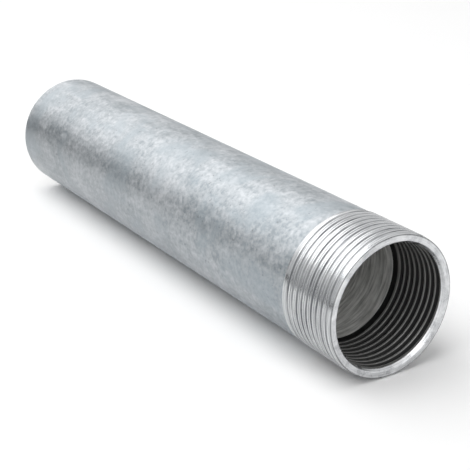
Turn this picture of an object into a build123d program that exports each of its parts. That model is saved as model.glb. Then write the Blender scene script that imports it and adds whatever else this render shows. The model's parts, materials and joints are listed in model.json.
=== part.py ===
"""Threaded steel conduit: one length of galvanised tube with a threaded mouth.

The tube stands on its plain end. Its axis is +Z and its threaded mouth is up.
All sizes are millimetres, and all angles are degrees.
"""

from build123d import *
from math import atan, copysign, cos, degrees, radians, tan
import os

# Tube: trade size 1 1/4 heavy conduit, cut 200 mm long
tube_length = 200.0
outside_diameter = 42.16
wall_thickness = 3.38

# Both threads: right hand, and their grooves sink in and rise out over half a turn
threads_per_inch = 11.5
flank_angle = 30.0
run_out_turns = 0.5
cutter_clearance = 0.1

# Outside thread: rolled, so its crests stand a little proud of the tube
outer_thread_length = 22.3
outer_thread_depth = 0.42
outer_crest_flat = 1.4
outer_crest_rise = 0.27
outer_step_length = 0.6
outer_top_land = 1.5
outer_start_side = 240.0
lead_in_length = 1.5
lead_in_drop = 0.3

# Inside thread: its crests lie on a bore reamed wider than the tube's own
inner_thread_length = 20.2
inner_thread_depth = 0.9
inner_crest_flat = 0.55
inner_top_land = 2.0
inner_start_side = 60.0
reamed_step = 0.75
reamed_cone_length = 0.9
mouth_chamfer_width = 0.7
mouth_chamfer_depth = 1.05

# Plain end: cut square and deburred inside and outside
outside_deburr = 0.3
inside_deburr = 0.6

# Radii and heights that follow from the sizes above
outside_radius = outside_diameter / 2
bore_radius = outside_radius - wall_thickness
crest_radius = outside_radius + outer_crest_rise
rim_radius = crest_radius - lead_in_drop
reamed_radius = bore_radius + reamed_step
mouth_radius = reamed_radius + mouth_chamfer_width

outer_thread_start = tube_length - outer_thread_length
outer_crest_start = outer_thread_start + outer_step_length
lead_in_start = tube_length - lead_in_length
inner_thread_start = tube_length - inner_thread_length
mouth_chamfer_start = tube_length - mouth_chamfer_depth

thread_pitch = 25.4 / threads_per_inch
flank_slope = tan(radians(flank_angle))


def groove_stretch(radius, depth, crest_flat, turns, rise=0.0):
    """A stretch of a groove's cutter, swept up a helix from height 0 and from the +X side.

    A positive depth cuts towards the axis, from outside, and a negative one away from it.
    The groove rises by rise on its way, out of the wall.
    """
    top = copysign(cutter_clearance, depth)
    half_opening = (thread_pitch - crest_flat) / 2
    half_top = half_opening + cutter_clearance * flank_slope
    half_root = half_opening - abs(depth) * flank_slope
    height = turns * thread_pitch
    slant = atan(rise / height)
    with BuildPart() as stretch:
        with BuildLine():
            # A conical helix takes its pitch along the cone's side
            pitch = thread_pitch / cos(slant)
            path = Helix(pitch, height, radius, cone_angle=degrees(slant))
        with BuildSketch(Plane((radius, 0, 0), (1, 0, 0), (0, -1, 0))):
            with BuildLine():
                Polyline(
                    (top, half_top),
                    (top, -half_top),
                    (-depth, -half_root),
                    (-depth, half_root),
                    close=True,
                )
            make_face()
        sweep(path=path, is_frenet=True)
    return stretch.part


def groove(radius, depth, crest_flat, low, high, start_side):
    """The cutters of one groove between two heights: its run-in, its turns and its run-out."""
    half_turns = int(2 * (high - low) / thread_pitch - 2 * run_out_turns)
    turns = half_turns / 2
    start = high - turns * thread_pitch
    rise = depth + copysign(cutter_clearance, depth)
    run_out = groove_stretch(radius, depth, crest_flat, run_out_turns, rise)
    half_turn = groove_stretch(radius, depth, crest_flat, 0.5)
    stretches = [run_out.rotate(Axis.X, 180).moved(Location((0, 0, start), (0, 0, start_side)))]
    for step in range(half_turns):
        height = start + step * thread_pitch / 2
        stretches.append(half_turn.moved(Location((0, 0, height), (0, 0, start_side + 180 * step))))
    end_side = start_side + 360 * turns
    stretches.append(run_out.moved(Location((0, 0, high), (0, 0, end_side))))
    return stretches


# The threads' grooves
outer_groove = groove(
    crest_radius, outer_thread_depth, outer_crest_flat,
    outer_crest_start, tube_length - outer_top_land, outer_start_side,
)
inner_groove = groove(
    reamed_radius, -inner_thread_depth, inner_crest_flat,
    inner_thread_start, tube_length - inner_top_land, inner_start_side,
)

# The wall's section, turned about the tube's axis
with BuildPart() as conduit:
    with BuildSketch(Plane.XZ) as wall_section:
        with BuildLine() as wall_outline:
            outer_side = Polyline(
                (outside_radius, 0),
                (outside_radius, outer_thread_start),
                (crest_radius, outer_crest_start),
                (crest_radius, lead_in_start),
                (rim_radius, tube_length),
            )
            mouth_face = Line(outer_side @ 1, (mouth_radius, tube_length))
            inner_side = Polyline(
                mouth_face @ 1,
                (reamed_radius, mouth_chamfer_start),
                (reamed_radius, inner_thread_start),
                (bore_radius, inner_thread_start - reamed_cone_length),
                (bore_radius, 0),
            )
            plain_face = Line(inner_side @ 1, outer_side @ 0)
        make_face()
    revolve(axis=Axis.Z)

    plain_end_edges = conduit.faces().sort_by(Axis.Z)[0].edges().sort_by(SortBy.RADIUS)
    chamfer(plain_end_edges[0], length=inside_deburr)
    chamfer(plain_end_edges[-1], length=outside_deburr)

    for stretch in outer_groove + inner_groove:
        add(stretch, mode=Mode.SUBTRACT)

conduit.part.label = "conduit"

os.makedirs("parts", exist_ok=True)
export_step(conduit.part, "parts/conduit.step")
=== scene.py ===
"""Dresses the threaded steel conduit: its threads, its zinc and cut-steel finishes, and a plain studio.

The tube stands along +Z, as its frame does. The photo shows it lying on a pale floor with its
mouth towards the camera, so the floor is the upright plane y = const that touches its side,
and the camera is turned to match.
"""

import json
import math

import bmesh
import bpy
from bpy.props import FloatProperty, FloatVectorProperty, IntProperty, PointerProperty
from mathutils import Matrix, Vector


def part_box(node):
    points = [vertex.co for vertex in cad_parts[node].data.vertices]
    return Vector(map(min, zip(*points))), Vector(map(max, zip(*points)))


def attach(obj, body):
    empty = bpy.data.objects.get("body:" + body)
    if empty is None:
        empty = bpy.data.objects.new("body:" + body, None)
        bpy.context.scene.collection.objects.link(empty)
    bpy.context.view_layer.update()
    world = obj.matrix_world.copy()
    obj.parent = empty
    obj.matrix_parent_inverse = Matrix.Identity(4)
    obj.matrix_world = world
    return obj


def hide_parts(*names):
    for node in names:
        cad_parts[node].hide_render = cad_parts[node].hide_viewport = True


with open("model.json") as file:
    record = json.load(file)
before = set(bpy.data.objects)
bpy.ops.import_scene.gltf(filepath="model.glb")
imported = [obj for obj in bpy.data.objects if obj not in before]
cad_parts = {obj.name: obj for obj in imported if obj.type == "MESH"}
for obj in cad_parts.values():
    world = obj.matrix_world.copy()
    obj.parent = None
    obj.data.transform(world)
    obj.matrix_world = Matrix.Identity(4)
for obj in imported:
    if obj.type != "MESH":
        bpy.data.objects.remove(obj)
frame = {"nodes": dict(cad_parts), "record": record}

bl_info = {
    "name": "Threaded Steel Conduit",
    "version": (1, 0, 0),
    "blender": (4, 5, 0),
    "location": "View3D > Sidebar > Conduit",
    "description": "Models a galvanised conduit with its rolled and tapped threads",
    "category": "Object",
}

NODE = "conduit"
MM = 0.001
MOUNTS = {mount["name"]: mount for mount in frame["record"]["mounts"]}
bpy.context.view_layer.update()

# A vertex this close to an end face's height lies on that face
FACE_TOLERANCE = 0.01 * MM


def mount_radius(name):
    """The radius of a round mount, in metres."""
    return MOUNTS[name]["dims"]["r_mm"] * MM


def mount_end(name, side):
    """The height of a round mount's lower end (side -1) or upper end (side 1), in metres."""
    mount = MOUNTS[name]
    return mount["pos_m"][2] + side * mount["dims"]["length_mm"] * MM / 2


def ring_radii(height):
    """The inner and outer radius of the frame's tube at one of its end faces."""
    corners = frame["nodes"][NODE].data.vertices
    radii = [v.co.xy.length for v in corners if abs(v.co.z - height) < FACE_TOLERANCE]
    return min(radii), max(radii)


TUBE_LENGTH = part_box(NODE)[1].z
MOUTH_RADIUS, RIM_RADIUS = ring_radii(TUBE_LENGTH)
FOOT_INNER_RADIUS, FOOT_OUTER_RADIUS = ring_radii(0.0)

# One turn of either thread: an inch of 25.4 mm has 11.5 turns
THREAD_PITCH = 25.4 / 11.5 * MM

# The wound threads end this far below the rim, and the turned mouth goes on from there
RIM_MARGIN = 0.15 * MM

# The longest step along a thread's outline
ROW_HEIGHT = 0.25 * MM

# Vertices closer than this are one, and edges shorter than the second value go
WELD_DISTANCE = 0.002 * MM
SHORTEST_EDGE = 0.0001 * MM

# Edges flatter than this are shaded smooth
SMOOTH_ANGLE = math.radians(50)

# The outside thread has painted shade on one side, a dull dark band: it rises over the first two angles
# round the tube and fades over the last two
SHADED_SIDE = [math.radians(angle) for angle in (-24.0, -10.0, -2.0, 3.0)]

# The start of the inside thread is painted as dark as its shaded grooves up to this height, and this
# painted shade thins out over the second
DARK_FOOT = 0.45 * MM
DARK_FOOT_EDGE = 0.4 * MM

# Reliefs of the finishes, as tall as this
ZINC_RELIEF = 0.16 * MM
THREAD_RELIEF = 0.05 * MM
MOUTH_RELIEF = 0.06 * MM

# Turning rings on the mouth, in rings to the metre
MOUTH_RINGS = 3200

# The painted shade on the rim's outer edge, a dark line, is full up to the first distance from the
# edge, and gone at the second
EDGE_SHADE = (0.12 * MM, 0.40 * MM)

# The studio: nearest point that the camera sees, the floor's width, its grey for the light
# that it throws back, its faint glow, and the strength of the air's even light
CLIP_START = 0.01
FLOOR_SIZE = 6.0
FLOOR_BOUNCE = (0.6, 0.6, 0.6, 1.0)
FLOOR_GLOW = 0.02
AIR_LIGHT = 0.4
WHITE = (1.0, 1.0, 1.0, 1.0)

# Cards that only the metal mirrors: their distance and width, and for each the way to it from
# the tube, its height and its grey. The ways are those in which the tube's side, as the camera
# sees it, mirrors the studio just over the floor
CARD_DISTANCE = 0.25
CARD_WIDTH = 0.9
CARDS = (
    ("near_card", Vector((0.594, 0.0, -0.805)), 0.030, 0.02),
    ("far_card", Vector((-0.594, 0.0, -0.805)), 0.060, 0.45),
)

# Soft boxes: place, the point that each faces, width and watts. The photo's up is -Y here,
# because the floor is upright
LAMPS = (
    ("back_box", (0.06, -1.0, -1.26), (0, 0, 0.1), 1.8, 7.5),
    ("top_box", (0.85, -1.75, 0.0), (0, 0, 0.1), 2.2, 31.0),
    ("front_box", (-0.05, -0.6, 1.6), (0, 0, 0.2), 0.6, 4.0),
)

# Attribute of the threads' meshes: how deep a groove is cut, in millimetres
CUT_DEPTH = "cut_depth"


class ConduitTube(bpy.types.PropertyGroup):
    """Sizes of the plain tube. Their defaults come from the frame."""

    barrel_radius: FloatProperty(
        name="Barrel Radius", description="Outside radius of the plain tube",
        default=mount_radius("barrel"), unit="LENGTH", precision=5)
    bore_radius: FloatProperty(
        name="Bore Radius", description="Inside radius of the plain tube",
        default=mount_radius("cable_bore"), unit="LENGTH", precision=5)
    columns: IntProperty(
        name="Columns", description="Number of faces round the tube", default=240, min=48)
    edge_rounding: FloatProperty(
        name="Edge Rounding", description="Width of the small bevel on each turned edge",
        default=0.12 * MM, unit="LENGTH", precision=5)


class ConduitThreads(bpy.types.PropertyGroup):
    """Sizes of the outside and the inside thread."""

    pitch: FloatProperty(
        name="Pitch", description="Height of one turn of either thread",
        default=THREAD_PITCH, unit="LENGTH", precision=5)
    flank_angle: FloatProperty(
        name="Flank Angle", description="Angle of a flank from the plane across the tube",
        default=math.radians(30), subtype="ANGLE")
    corner: FloatProperty(
        name="Corner", description="Length of the rounding on each corner of the thread",
        default=0.07 * MM, unit="LENGTH", precision=5)
    run_out: FloatProperty(
        name="Run Out", description="Turns over which a groove sinks in or rises out",
        default=0.5)
    overcut: FloatProperty(
        name="Overcut", description="How far above the crest a groove's run-out ends",
        default=0.1 * MM, unit="LENGTH", precision=5)
    outer_depth: FloatProperty(
        name="Outer Depth", description="Depth of the outside thread",
        default=0.42 * MM, unit="LENGTH", precision=5)
    outer_crest: FloatProperty(
        name="Outer Crest", description="Width of the outside thread's crest",
        default=1.4 * MM, unit="LENGTH", precision=5)
    outer_top_land: FloatProperty(
        name="Outer Top Land", description="From the rim down to the last full turn outside",
        default=1.5 * MM, unit="LENGTH", precision=5)
    outer_start: FloatProperty(
        name="Outer Start", description="Side of the tube on which the outside groove starts",
        default=math.radians(240), subtype="ANGLE")
    crease_width: FloatProperty(
        name="Crease Width", description="Width of the fold that rolling leaves in a crest",
        default=0.32 * MM, unit="LENGTH", precision=5)
    crease_depth: FloatProperty(
        name="Crease Depth", description="Depth of that fold, before its bottom is rounded",
        default=0.14 * MM, unit="LENGTH", precision=5)
    inner_depth: FloatProperty(
        name="Inner Depth", description="Depth of the inside thread",
        default=0.9 * MM, unit="LENGTH", precision=5)
    inner_crest: FloatProperty(
        name="Inner Crest", description="Width of the inside thread's crest",
        default=0.55 * MM, unit="LENGTH", precision=5)
    inner_top_land: FloatProperty(
        name="Inner Top Land", description="From the rim down to the last full turn inside",
        default=2.0 * MM, unit="LENGTH", precision=5)
    inner_start: FloatProperty(
        name="Inner Start", description="Side of the tube on which the inside groove starts",
        default=math.radians(60), subtype="ANGLE")


class ConduitFinish(bpy.types.PropertyGroup):
    """Colours of the coated and the bare metal, and of the shade painted on the threads and the rim."""

    zinc_dark: FloatVectorProperty(
        name="Dark Zinc", description="Colour of the zinc coating's dark blotches",
        subtype="COLOR", default=(0.25, 0.28, 0.30), min=0, max=1)
    zinc_light: FloatVectorProperty(
        name="Light Zinc", description="Colour of the zinc coating's light blotches",
        subtype="COLOR", default=(0.49, 0.51, 0.53), min=0, max=1)
    zinc_blue: FloatVectorProperty(
        name="Blue Zinc", description="Bluish colour that tints broad patches of the zinc",
        subtype="COLOR", default=(0.31, 0.355, 0.385), min=0, max=1)
    speck: FloatVectorProperty(
        name="Speck", description="Colour of the small dark specks in the zinc",
        subtype="COLOR", default=(0.12, 0.125, 0.13), min=0, max=1)
    crest: FloatVectorProperty(
        name="Crest", description="Colour of the bright steel on the outside thread's crests",
        subtype="COLOR", default=(0.66, 0.67, 0.68), min=0, max=1)
    # Dull crest colour: real scratches, and the painted shade on one side of the outside thread
    crest_scratch_and_shade: FloatVectorProperty(
        name="Dull Crest", description="Colour of the scratches and the stain on those crests",
        subtype="COLOR", default=(0.32, 0.33, 0.34), min=0, max=1)
    # Groove colour: painted shade that darkens the outside thread's grooves by their depth
    groove: FloatVectorProperty(
        name="Groove", description="Colour of the dulled steel in the outside thread's grooves",
        subtype="COLOR", default=(0.15, 0.155, 0.165), min=0, max=1)
    mouth: FloatVectorProperty(
        name="Mouth", description="Colour of the turned steel round the mouth",
        subtype="COLOR", default=(0.80, 0.81, 0.82), min=0, max=1)
    mouth_dull: FloatVectorProperty(
        name="Dull Mouth", description="Colour of the dull blotches round the mouth",
        subtype="COLOR", default=(0.33, 0.34, 0.355), min=0, max=1)
    # Mouth line colour: painted shade, a dark line on the rim's outer edge
    mouth_edge_shade: FloatVectorProperty(
        name="Mouth Line", description="Colour of the line on the rim's outer edge",
        subtype="COLOR", default=(0.10, 0.105, 0.11), min=0, max=1)
    inner_crest: FloatVectorProperty(
        name="Inner Crest", description="Colour of the inside thread's crests",
        subtype="COLOR", default=(0.40, 0.40, 0.39), min=0, max=1)
    inner_crest_dull: FloatVectorProperty(
        name="Dull Inner Crest", description="Colour of the scratches on the inside crests",
        subtype="COLOR", default=(0.25, 0.25, 0.245), min=0, max=1)
    # Inner groove colour: painted shade, near black, in the inside thread's grooves and at its start
    inner_groove: FloatVectorProperty(
        name="Inner Groove", description="Colour of the oily dirt in the inside thread",
        subtype="COLOR", default=(0.012, 0.012, 0.012), min=0, max=1)
    bore: FloatVectorProperty(
        name="Bore", description="Colour of the dull zinc inside the tube", subtype="COLOR",
        default=(0.92, 0.92, 0.90), min=0, max=1)
    bore_dull: FloatVectorProperty(
        name="Dull Bore", description="Colour of the darker rings inside the tube",
        subtype="COLOR", default=(0.38, 0.38, 0.37), min=0, max=1)


class ConduitStage(bpy.types.PropertyGroup):
    """The studio: camera, floor and lamps."""

    camera_place: FloatVectorProperty(
        name="Camera Place", description="Where the camera stands", subtype="TRANSLATION",
        default=(0.1956, -0.1382, 0.4247), unit="LENGTH", precision=4)
    camera_turn: FloatVectorProperty(
        name="Camera Turn", description="The camera's XYZ rotation", subtype="EULER",
        default=[math.radians(angle) for angle in (-21.631, -32.758, 180.0)])
    camera_lens: FloatProperty(
        name="Lens", description="The camera's focal length in millimetres",
        default=91.16, unit="CAMERA")
    floor_colour: FloatVectorProperty(
        name="Floor Colour", description="Colour of the floor that the tube lies against",
        subtype="COLOR", default=(0.93, 0.93, 0.93), min=0, max=1)


class Wire:
    """An output socket that joins into sums, so that shader maths reads as Python."""

    def __init__(self, tree, socket):
        self.tree = tree
        self.socket = socket

    def __add__(self, other):
        return self.tree.maths("ADD", self, other)

    __radd__ = __add__

    def __mul__(self, other):
        return self.tree.maths("MULTIPLY", self, other)

    __rmul__ = __mul__

    def __sub__(self, other):
        return self.tree.maths("SUBTRACT", self, other)

    def __rsub__(self, other):
        return self.tree.maths("SUBTRACT", other, self)

    def clamped(self):
        """This wire, held between 0 and 1."""
        return self.tree.add("Clamp", {}, {"Value": self})

    def ramp(self, low, high):
        """0 below low, 1 above high, and a soft rise between them."""
        settings = {"interpolation_type": "SMOOTHSTEP"}
        sockets = {"Value": self, "From Min": low, "From Max": high}
        return self.tree.add("MapRange", settings, sockets)


class NodeTree:
    """A material's or the world's node tree, with one method that adds any node."""

    def __init__(self, owner):
        owner.use_nodes = True
        self.tree = owner.node_tree
        self.tree.nodes.clear()

    def add(self, kind, settings, sockets, output=0):
        """Adds a node of a kind, makes its settings, feeds its sockets and returns an output."""
        node = self.tree.nodes.new("ShaderNode" + kind)
        for name, value in settings.items():
            setattr(node, name, value)
        for name, value in sockets.items():
            if isinstance(value, Wire):
                self.tree.links.new(value.socket, node.inputs[name])
            else:
                node.inputs[name].default_value = value
        if not node.outputs:
            return None
        return Wire(self, node.outputs[output])

    def maths(self, operation, *values):
        """Adds a Math node that works on up to three values."""
        return self.add("Math", {"operation": operation}, dict(enumerate(values)))

    def mix_colours(self, factor, first, second):
        """A blend from the first colour, at factor 0, to the second."""
        sockets = {0: factor, 6: first, 7: second}
        return self.add("Mix", {"data_type": "RGBA"}, sockets, output=2)

    def named(self, kind, output):
        """A wire from a named output of a new node that needs no settings."""
        node = self.add(kind, {}, {}).socket.node
        return Wire(self, node.outputs[output])

    def shown_rays(self):
        """1 for the rays that show a background: the camera's, and mirrored or refracted ones."""
        node = self.add("LightPath", {}, {}).socket.node
        camera, glossy, clear = (Wire(self, node.outputs[name]) for name in (
            "Is Camera Ray", "Is Glossy Ray", "Is Transmission Ray"))
        return (camera + glossy + clear).clamped()

    def place(self):
        """Object coordinates, in metres."""
        return self.add("TexCoord", {}, {}, output=3)

    def stretched(self, place, factors):
        """A place scaled along each axis, which draws a pattern out along the others."""
        return self.add("VectorMath", {"operation": "MULTIPLY"}, {0: place, 1: factors})

    def bumped(self, height, distance):
        """The normal over a relief of a height from 0 to 1, distance metres tall."""
        return self.add("Bump", {}, {"Height": height, "Distance": distance, "Strength": 1.0})

    def cut_depth(self):
        """How deep a thread's groove is cut here, in millimetres."""
        return self.add("Attribute", {"attribute_name": CUT_DEPTH}, {}, output=2)

    def metal(self, sockets):
        """Ends the tree in a Principled shader."""
        shader = self.add("BsdfPrincipled", {}, sockets)
        self.add("OutputMaterial", {}, {"Surface": shader})

    def parts(self, place):
        """The three numbers of a vector."""
        node = self.add("SeparateXYZ", {}, {"Vector": place}).socket.node
        return [Wire(self, output) for output in node.outputs]

    def joined(self, x, y, z):
        """A vector of three numbers."""
        return self.add("CombineXYZ", {}, {"X": x, "Y": y, "Z": z})

    def noise(self, place, scale, detail=3.0, roughness=0.5, distortion=0.0):
        """Cloudy noise from about 0 to 1, with scale patches to the metre."""
        sockets = {"Vector": place, "Scale": scale, "Detail": detail,
                   "Roughness": roughness, "Distortion": distortion}
        return self.add("TexNoise", {}, sockets)


def opaque(colour):
    """A colour property as the four numbers of a colour socket."""
    return (*colour, 1.0)


def rounded(corners, rounding):
    """Replaces each inner corner of an open outline by a small bevel."""
    points = [Vector(corners[0])]
    for before, corner, after in zip(corners, corners[1:], corners[2:]):
        here = Vector(corner)
        for neighbour in (before, after):
            arm = Vector(neighbour) - here
            points.append(here + arm.normalized() * min(rounding, arm.length / 2))
    points.append(Vector(corners[-1]))
    return points


def draw_outline(name, points):
    """Draws an open outline of (radius, height) points at +X, one vertex after another."""
    bpy.ops.object.select_all(action="DESELECT")
    start = points[0]
    bpy.ops.mesh.primitive_plane_add(size=MM, location=(start[0], 0, start[1]))
    outline = bpy.context.object
    outline.name = outline.data.name = name
    bpy.ops.object.transform_apply(location=True, rotation=True, scale=True)
    bpy.ops.object.mode_set(mode="EDIT")
    bpy.ops.mesh.select_all(action="SELECT")
    bpy.ops.mesh.merge(type="CENTER")
    for here, there in zip(points, points[1:]):
        step = (there[0] - here[0], 0, there[1] - here[1])
        bpy.ops.mesh.extrude_region_move(TRANSFORM_OT_translate={"value": step})
    bpy.ops.object.mode_set(mode="OBJECT")
    return outline


def turn_outline(name, points, columns):
    """Turns an outline about the tube's axis, as on a lathe."""
    turned = draw_outline(name, points)
    bpy.ops.object.mode_set(mode="EDIT")
    bpy.ops.mesh.select_all(action="SELECT")
    bpy.ops.mesh.spin(steps=columns, angle=math.tau, center=(0, 0, 0), axis=(0, 0, 1))
    bpy.ops.object.mode_set(mode="OBJECT")
    return turned


def with_rows(points, longest):
    """Divides the long stretches of an outline, so that no stretch is over a length."""
    rows = [points[0]]
    for here, there in zip(points, points[1:]):
        parts = math.ceil((there - here).length / longest)
        rows += [here.lerp(there, part / parts) for part in range(1, parts + 1)]
    return rows


def thread_outline(sizes, depth, crest, crease_width=0.0, crease_depth=0.0):
    """One turn of a thread as (depth below the crest, height), from root to root."""
    flank = depth * math.tan(sizes.flank_angle)
    opening = sizes.pitch - crest
    half_root = opening / 2 - flank
    rise = [(depth, 0.0), (depth, half_root), (0.0, opening / 2)]
    if crease_width:
        rise.append((0.0, (sizes.pitch - crease_width) / 2))
    fall = [(depth, sizes.pitch - height) for depth, height in reversed(rise)]
    middle = [(crease_depth, sizes.pitch / 2)]
    return with_rows(rounded(rise + middle + fall, sizes.corner), ROW_HEIGHT)


class Groove:
    """The place of one helical groove, and the plain turned surface that it is cut into.

    inward is 1 where the groove goes into the wall from outside, and -1 where it goes in
    from the bore. Above cone_start the plain surface slants to the tube's end.
    """

    def __init__(self, sizes, inward, depth, crest, low, cone_start, crest_radius, end_radius,
                 top_land, start_side):
        self.sizes = sizes
        self.inward = inward
        self.depth = depth
        self.opening = sizes.pitch - crest
        self.low = low
        self.high = TUBE_LENGTH - RIM_MARGIN
        self.cone_start = cone_start
        self.crest_radius = crest_radius
        self.end_radius = end_radius
        self.start_side = start_side
        last = TUBE_LENGTH - top_land
        half_turns = int(2 * (last - low) / sizes.pitch - 2 * sizes.run_out)
        self.turns = half_turns / 2
        self.start = last - self.turns * sizes.pitch

    def surface(self, height):
        """Radius of the plain surface at a height."""
        share = max(0.0, (height - self.cone_start) / (TUBE_LENGTH - self.cone_start))
        return self.crest_radius + (self.end_radius - self.crest_radius) * share

    def depth_left(self, depth, height, side):
        """What the run-in and the run-out leave of a depth at a place on the tube."""
        side = (side - self.start_side) / math.tau % 1
        turns = (height - self.start) / self.sizes.pitch - side
        # The groove's middle lies at whole turns, and the middle of the crest at half turns
        middle = round(turns)
        if abs(turns - middle) * self.sizes.pitch > self.opening / 2:
            middle = math.floor(turns) + 0.5
        turn = middle + side
        outside = max(0.0, -turn, turn - self.turns)
        return max(0.0, depth - (self.depth + self.sizes.overcut) * outside / self.sizes.run_out)

    def wind(self, name, outline, columns):
        """Winds the thread's outline up the tube and fits it to the plain surface."""
        pitch = self.sizes.pitch
        behind = self.start_side / math.tau % 1
        start = self.start - (math.ceil((self.start - self.low) / pitch) + 1 + behind) * pitch
        points = [(self.crest_radius - self.inward * depth, start + height)
                  for depth, height in outline]
        thread = draw_outline(name, points)
        screw = thread.modifiers.new("wind", "SCREW")
        screw.axis = "Z"
        screw.angle = math.tau
        screw.screw_offset = pitch
        screw.iterations = math.ceil((self.high - start) / pitch) + 1
        screw.steps = screw.render_steps = columns
        screw.use_merge_vertices = True
        screw.merge_threshold = WELD_DISTANCE / 2
        bpy.ops.object.modifier_apply(modifier=screw.name)
        cut = thread.data.attributes.new(CUT_DEPTH, "FLOAT", "POINT")
        # Rows past the thread's ends are drawn in to its end rings, where join_shells merges them
        for vertex in thread.data.vertices:
            x, y, height = vertex.co
            depth = self.inward * (self.crest_radius - math.hypot(x, y))
            if self.low < height < self.high:
                depth = self.depth_left(depth, height, math.atan2(y, x))
                radius = self.crest_radius - self.inward * depth
            else:
                height = min(max(height, self.low), self.high)
                radius = self.crest_radius
            plain = self.surface(height)
            radius = min(radius, plain) if self.inward > 0 else max(radius, plain)
            cut.data[vertex.index].value = abs(radius - plain) / MM
            scale = radius / math.hypot(x, y)
            vertex.co = (x * scale, y * scale, height)
        return thread


def join_shells(name, shells):
    """Joins turned and wound shells along the rings that they share."""
    bpy.ops.object.select_all(action="DESELECT")
    for shell in shells:
        shell.select_set(True)
    bpy.context.view_layer.objects.active = shells[0]
    bpy.ops.object.join()
    joined = bpy.context.object
    joined.name = joined.data.name = name
    bpy.ops.object.mode_set(mode="EDIT")
    bpy.ops.mesh.select_all(action="SELECT")
    bpy.ops.mesh.remove_doubles(threshold=WELD_DISTANCE)
    bpy.ops.mesh.dissolve_degenerate(threshold=SHORTEST_EDGE)
    bpy.ops.mesh.select_all(action="SELECT")
    bpy.ops.mesh.normals_make_consistent(inside=False)
    bpy.ops.object.mode_set(mode="OBJECT")
    return joined


def open_edges(obj):
    """How many edges of a mesh don't lie between exactly two faces."""
    shape = bmesh.new()
    shape.from_mesh(obj.data)
    count = sum(1 for edge in shape.edges if len(edge.link_faces) != 2)
    shape.free()
    return count


def zinc_finish(finish):
    """Hot-dipped zinc: satin, mottled with small crystals, faintly streaked and specked."""
    material = bpy.data.materials.new("zinc_coating")
    tree = NodeTree(material)
    place = tree.place()
    clouds = tree.noise(place, scale=55, detail=2)
    blotches = tree.noise(place, scale=260, detail=5, roughness=0.62, distortion=0.4)
    crystals = tree.noise(place, scale=700, detail=2, roughness=0.65)
    streaks = tree.noise(tree.stretched(place, (1.0, 1.0, 0.08)), scale=420, detail=2)
    specks = tree.noise(place, scale=900, detail=1).ramp(0.70, 0.76)
    tints = tree.noise(place, scale=75, detail=3, distortion=0.5).ramp(0.46, 0.66)
    light = (clouds * 1.3 + blotches * 1.4 + crystals * 1.8 + streaks * 0.7 - 2.08).clamped()
    colour = tree.mix_colours(light, opaque(finish.zinc_dark), opaque(finish.zinc_light))
    colour = tree.mix_colours(tints * 0.55, colour, opaque(finish.zinc_blue))
    colour = tree.mix_colours(specks * 0.45, colour, opaque(finish.speck))
    relief = tree.bumped(blotches * 0.8 + crystals * 0.35 + streaks * 0.15, ZINC_RELIEF)
    tree.metal({
        "Base Color": colour, "Metallic": 0.92, "Normal": relief,
        "Roughness": blotches * 0.25 + crystals * 0.10 + 0.26})
    return material


def thread_finish(finish):
    """The outside thread: bright scratched crests, painted shade in the grooves and painted shade on
    one side.
    """
    material = bpy.data.materials.new("rolled_thread")
    tree = NodeTree(material)
    place = tree.place()
    around = tree.stretched(place, (1.0, 1.0, 24.0))
    scratches = tree.noise(around, scale=85, detail=3, roughness=0.65)
    patches = tree.noise(place, scale=260, detail=3, roughness=0.6)
    groove_shade_patches = tree.noise(tree.stretched(place, (1.0, 1.0, 4.0)), scale=75, detail=2)
    x, y, _ = tree.parts(place)
    side = tree.maths("ARCTAN2", y, x) + scratches * 0.25 + patches * 0.15
    # Painted shade: the crests are darkened on one side of the tube
    painted_shade = side.ramp(SHADED_SIDE[0], SHADED_SIDE[1]) * (1 - side.ramp(SHADED_SIDE[2], SHADED_SIDE[3]))
    groove = tree.cut_depth().ramp(0.01, 0.11)
    # Painted shade in the outside grooves, by their depth and in patches
    groove_shade = (groove_shade_patches * 2.2 + patches * 0.6 - 0.70).clamped() * groove
    bright = (scratches * 2.8 - 0.85).clamped() * (1 - painted_shade * 0.7)
    crest = tree.mix_colours(bright, opaque(finish.crest_scratch_and_shade), opaque(finish.crest))
    colour = tree.mix_colours(groove_shade, crest, opaque(finish.groove))
    tree.metal({
        "Base Color": colour, "Metallic": 1.0, "Roughness": scratches * 0.2 + groove * 0.15 + 0.10,
        "Normal": tree.bumped(scratches * 0.8 + patches * 0.4, THREAD_RELIEF)})
    return material


def mouth_finish(finish):
    """The rim and its chamfers: turned steel with fine rings, lightly blotched, and a painted dark line
    of shade on the rim's outer edge.
    """
    material = bpy.data.materials.new("turned_mouth")
    tree = NodeTree(material)
    place = tree.place()
    x, y, z = tree.parts(place)
    radius = tree.maths("SQRT", x * x + y * y)
    rings = tree.noise(tree.joined(radius, z, 0.0), scale=MOUTH_RINGS, detail=2)
    blotches = tree.noise(place, scale=240, detail=4, roughness=0.62, distortion=0.4)
    light = (rings * 1.2 + blotches * 2.0 - 1.0).clamped()
    from_edge = radius - RIM_RADIUS
    # Painted shade: a dark line along the rim's outer edge
    edge = 1 - tree.maths("ABSOLUTE", from_edge).ramp(*EDGE_SHADE)
    colour = tree.mix_colours(light, opaque(finish.mouth_dull), opaque(finish.mouth))
    colour = tree.mix_colours(edge * 0.75, colour, opaque(finish.mouth_edge_shade))
    tree.metal({
        "Base Color": colour, "Metallic": 1.0, "Roughness": blotches * 0.3 + 0.14,
        "Normal": tree.bumped(rings * 0.35 + blotches * 0.65, MOUTH_RELIEF)})
    return material


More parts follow.
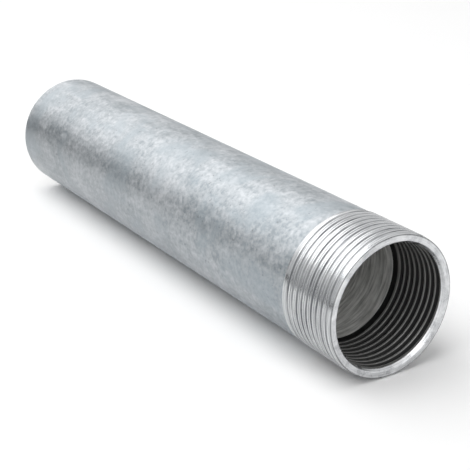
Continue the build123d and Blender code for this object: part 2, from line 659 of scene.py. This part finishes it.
def tapped_finish(finish):
    """The inside thread: grey crests between grooves painted near black as shade."""
    material = bpy.data.materials.new("tapped_thread")
    tree = NodeTree(material)
    place = tree.place()
    scratches = tree.noise(tree.stretched(place, (1.0, 1.0, 36.0)), scale=90, detail=3)
    height = tree.parts(place)[2]
    foot = mount_end("inside_thread", -1) + DARK_FOOT
    below = 1 - height.ramp(foot, foot + DARK_FOOT_EDGE)
    groove = tree.cut_depth().ramp(0.02, 0.22)
    crest = tree.mix_colours((scratches * 2 - 0.5).clamped(),
                             opaque(finish.inner_crest_dull), opaque(finish.inner_crest))
    # Painted shade: near black in the grooves, by their depth, and over the thread's start
    inner_shade = tree.maths("MAXIMUM", groove, below)
    colour = tree.mix_colours(inner_shade, crest, opaque(finish.inner_groove))
    tree.metal({"Base Color": colour, "Metallic": 0.5, "Roughness": groove * 0.2 + 0.35})
    return material


def bore_finish(finish):
    """Dull zinc inside the tube, with faint rings from the reamer."""
    material = bpy.data.materials.new("bore_zinc")
    tree = NodeTree(material)
    place = tree.place()
    rings = tree.noise(tree.stretched(place, (1.0, 1.0, 9.0)), scale=130, detail=3)
    blotches = tree.noise(place, scale=170, detail=4, roughness=0.6)
    light = (rings * 2.6 + blotches - 1.3).clamped()
    colour = tree.mix_colours(light, opaque(finish.bore_dull), opaque(finish.bore))
    tree.metal({"Base Color": colour, "Metallic": 0.2, "Roughness": 0.45})
    return material


class CONDUIT_OT_make_tube(bpy.types.Operator):
    """Model the tube with its outside and inside thread"""

    bl_idname = "conduit.make_tube"
    bl_label = "Make Tube"
    bl_options = {"REGISTER", "UNDO"}

    def execute(self, context):
        tube = context.scene.conduit_tube
        threads = context.scene.conduit_threads
        columns = tube.columns
        outer_crest = mount_radius("outside_thread")
        inner_crest = mount_radius("inside_thread")
        outer_low, outer_high = mount_end("outside_thread", -1), mount_end("outside_thread", 1)
        inner_low, inner_high = mount_end("inside_thread", -1), mount_end("inside_thread", 1)
        foot_height = mount_end("barrel", -1)
        bore_low, bore_high = mount_end("cable_bore", -1), mount_end("cable_bore", 1)
        rounding = tube.edge_rounding

        outer_groove = Groove(
            threads, inward=1, depth=threads.outer_depth, crest=threads.outer_crest,
            low=outer_low, cone_start=outer_high, crest_radius=outer_crest,
            end_radius=RIM_RADIUS, top_land=threads.outer_top_land,
            start_side=threads.outer_start)
        inner_groove = Groove(
            threads, inward=-1, depth=threads.inner_depth, crest=threads.inner_crest,
            low=inner_low, cone_start=inner_high, crest_radius=inner_crest,
            end_radius=MOUTH_RADIUS, top_land=threads.inner_top_land,
            start_side=threads.inner_start)
        outer_thread = outer_groove.wind(
            "outer_thread",
            thread_outline(threads, threads.outer_depth, threads.outer_crest,
                           threads.crease_width, threads.crease_depth),
            columns)
        inner_thread = inner_groove.wind(
            "inner_thread",
            thread_outline(threads, threads.inner_depth, threads.inner_crest), columns)
        top = TUBE_LENGTH - RIM_MARGIN
        mouth = turn_outline("mouth", rounded([
            (outer_groove.surface(top), top),
            (RIM_RADIUS, TUBE_LENGTH),
            (MOUTH_RADIUS, TUBE_LENGTH),
            (inner_groove.surface(top), top),
        ], rounding), columns)
        barrel = turn_outline("barrel", rounded([
            (inner_crest, inner_low),
            (tube.bore_radius, bore_high),
            (tube.bore_radius, bore_low),
            (FOOT_INNER_RADIUS, 0.0),
            (FOOT_OUTER_RADIUS, 0.0),
            (tube.barrel_radius, foot_height),
            (tube.barrel_radius, mount_end("barrel", 1)),
            (outer_crest, outer_low),
        ], rounding), columns)

        conduit = join_shells("conduit_tube", [barrel, mouth, outer_thread, inner_thread])
        loose = open_edges(conduit)
        if loose:
            raise RuntimeError(f"the tube has {loose} open edges")
        bpy.ops.object.select_all(action="DESELECT")
        conduit.select_set(True)
        bpy.ops.object.shade_smooth_by_angle(angle=SMOOTH_ANGLE)
        self.dress(context, conduit, outer_groove, inner_groove)
        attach(conduit, "root")
        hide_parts(NODE)
        return {"FINISHED"}

    @staticmethod
    def dress(context, conduit, outer_groove, inner_groove):
        """Gives each face the finish of its place on the tube."""
        finish = context.scene.conduit_finish
        makers = (zinc_finish, thread_finish, mouth_finish, tapped_finish, bore_finish)
        zinc, thread, mouth, tapped, bore = range(len(makers))
        for maker in makers:
            conduit.data.materials.append(maker(finish))
        middle = (outer_groove.crest_radius + inner_groove.crest_radius) / 2
        thread_start, bore_end = mount_end("barrel", 1), mount_end("cable_bore", 1)
        foot = -math.inf
        for face in conduit.data.polygons:
            radius = math.hypot(face.center.x, face.center.y)
            height = face.center.z
            if radius > middle:
                finishes = (outer_groove.high, mouth), (thread_start, thread), (foot, zinc)
            else:
                finishes = (inner_groove.cone_start, mouth), (bore_end, tapped), (foot, bore)
            face.material_index = next(index for low, index in finishes if height > low)


class CONDUIT_OT_set_stage(bpy.types.Operator):
    """Set the camera, the floor and the lamps"""

    bl_idname = "conduit.set_stage"
    bl_label = "Set Stage"
    bl_options = {"REGISTER", "UNDO"}

    def execute(self, context):
        stage = context.scene.conduit_stage
        self.place_camera(context, stage)
        self.lay_floor(stage)
        self.stand_cards()
        self.hang_lamps(context)
        self.light_world(context)
        context.scene.view_settings.view_transform = "Standard"
        return {"FINISHED"}

    @staticmethod
    def place_camera(context, stage):
        """The camera, fitted to the tube's outline in the photo."""
        bpy.ops.object.camera_add(location=stage.camera_place, rotation=stage.camera_turn)
        camera = context.object
        camera.name = "photo_camera"
        camera.data.lens = stage.camera_lens
        camera.data.clip_start = CLIP_START
        context.scene.camera = camera

    @staticmethod
    def lay_floor(stage):
        """The pale floor that the tube's side lies against. It is clear from behind."""
        bpy.ops.object.select_all(action="DESELECT")
        side = mount_radius("outside_thread")
        bpy.ops.mesh.primitive_plane_add(
            size=FLOOR_SIZE, location=(0, side, 0), rotation=(math.radians(90), 0, 0))
        floor = bpy.context.object
        floor.name = "studio_floor"
        material = bpy.data.materials.new("floor_paper")
        tree = NodeTree(material)
        shown = tree.shown_rays()
        behind = tree.named("NewGeometry", "Backfacing")
        colour = tree.mix_colours(shown, FLOOR_BOUNCE, opaque(stage.floor_colour))
        paper = tree.add("BsdfDiffuse", {}, {"Color": colour})
        glow = tree.add("Emission", {}, {"Color": WHITE, "Strength": shown * FLOOR_GLOW})
        lit = tree.add("AddShader", {}, {0: paper, 1: glow})
        clear = tree.add("BsdfTransparent", {}, {})
        shader = tree.add("MixShader", {}, {0: behind, 1: lit, 2: clear})
        tree.add("OutputMaterial", {}, {"Surface": shader})
        floor.data.materials.append(material)

    @staticmethod
    def stand_cards():
        """Low cards beside the tube that only its metal mirrors: they draw dark lines along it."""
        foot = mount_radius("outside_thread")
        for name, way, height, grey in CARDS:
            place = way * CARD_DISTANCE + Vector((0, foot - height / 2, TUBE_LENGTH / 2))
            bpy.ops.object.select_all(action="DESELECT")
            bpy.ops.mesh.primitive_plane_add(
                size=1.0, location=place, rotation=(0, math.atan2(way.x, way.z), 0))
            card = bpy.context.object
            card.name = name
            card.scale = (CARD_WIDTH, height, 1.0)
            bpy.ops.object.transform_apply(location=True, rotation=True, scale=True)
            tree = NodeTree(bpy.data.materials.new(name))
            cloth = tree.add("Emission", {}, {"Color": (grey, grey, grey, 1)})
            clear = tree.add("BsdfTransparent", {}, {})
            mirrored = tree.named("LightPath", "Is Glossy Ray")
            shader = tree.add("MixShader", {}, {0: mirrored, 1: clear, 2: cloth})
            tree.add("OutputMaterial", {}, {"Surface": shader})
            card.data.materials.append(bpy.data.materials[name])

    @staticmethod
    def hang_lamps(context):
        """Round soft boxes, each turned to the point that it faces."""
        for name, place, aim, width, power in LAMPS:
            bpy.ops.object.light_add(type="AREA", location=place)
            lamp = context.object
            lamp.name = name
            lamp.data.shape = "DISK"
            lamp.data.size = width
            lamp.data.energy = power
            way = Vector(aim) - Vector(place)
            lamp.rotation_euler = way.to_track_quat("-Z", "Y").to_euler()

    @staticmethod
    def light_world(context):
        """White where the camera and the metal look, and even air for the rest."""
        world = bpy.data.worlds.new("studio_air")
        context.scene.world = world
        tree = NodeTree(world)
        strength = tree.shown_rays() * (1 - AIR_LIGHT) + AIR_LIGHT
        air = tree.add("Background", {}, {"Color": WHITE, "Strength": strength})
        tree.add("OutputWorld", {}, {"Surface": air})


class CONDUIT_PT_panel(bpy.types.Panel):
    """Lists the conduit's steps and sizes in the sidebar"""

    bl_idname = "CONDUIT_PT_panel"
    bl_label = "Threaded Conduit"
    bl_space_type = "VIEW_3D"
    bl_region_type = "UI"
    bl_category = "Conduit"

    def draw(self, context):
        scene = context.scene
        for operator in OPERATORS:
            self.layout.operator(operator.bl_idname)
        for name, group in PROPERTY_GROUPS.items():
            box = self.layout.box()
            box.label(text=group.__doc__.split(".")[0])
            for prop in group.__annotations__:
                box.prop(getattr(scene, name), prop)


PROPERTY_GROUPS = {
    "conduit_tube": ConduitTube,
    "conduit_threads": ConduitThreads,
    "conduit_finish": ConduitFinish,
    "conduit_stage": ConduitStage,
}
OPERATORS = (CONDUIT_OT_set_stage, CONDUIT_OT_make_tube)
CLASSES = (*PROPERTY_GROUPS.values(), *OPERATORS, CONDUIT_PT_panel)


def register():
    for cls in CLASSES:
        bpy.utils.register_class(cls)
    for name, group in PROPERTY_GROUPS.items():
        setattr(bpy.types.Scene, name, PointerProperty(type=group))


def unregister():
    for name in PROPERTY_GROUPS:
        delattr(bpy.types.Scene, name)
    for cls in reversed(CLASSES):
        bpy.utils.unregister_class(cls)


def main():
    register()
    bpy.ops.conduit.set_stage()
    bpy.ops.conduit.make_tube()


if __name__ == "__main__":
    main()
